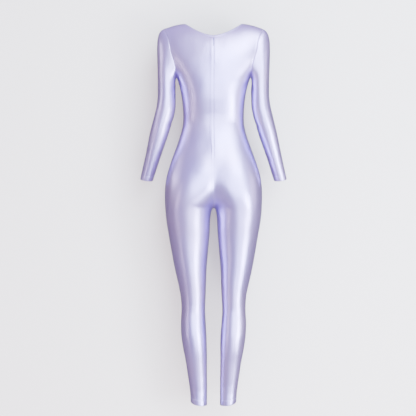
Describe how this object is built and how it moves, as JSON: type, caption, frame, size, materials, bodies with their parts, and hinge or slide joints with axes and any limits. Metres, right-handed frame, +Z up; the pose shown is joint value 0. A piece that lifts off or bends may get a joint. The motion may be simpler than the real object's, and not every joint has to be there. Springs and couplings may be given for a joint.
{
  "type": "full body spandex suit",
  "caption": "Full body stretch suit with long sleeves, a scooped neck and a concealed centre back zip, filled out with nobody in it.",
  "frame": {"origin": "midway between the neck ends of the two shoulder seams, where the wearer's shoulders hold the suit", "axes": "+Z up, +Y the way the wearer faces, +X to the wearer's right, so the zip is on the -Y side"},
  "size_m": [0.5244, 0.228, 1.3505],
  "materials": {
    "spandex": "lilac stretch knit with a wet-look pearl shine",
    "tape": "matte lilac woven zip tape",
    "zip_metal": "lilac enamel"
  },
  "bodies": {
    "suit": {"back_left": "spandex", "back_right": "spandex", "front_left": "spandex", "front_right": "spandex", "sleeve_left": "spandex", "sleeve_right": "spandex", "neck_binding": "spandex", "zip_tape_left": "tape", "zip_tape_right": "tape", "zip_slider": "zip_metal"},
    "pull": {"zip_pull": "zip_metal"}
  },
  "joints": [
    {"name": "pull_hinge", "type": "hinge", "parent": "suit", "child": "pull", "pos_m": [0, -0.07086, -0.06241], "axis": [-1, 0, 0], "range_deg": [0, 165]}
  ]
}
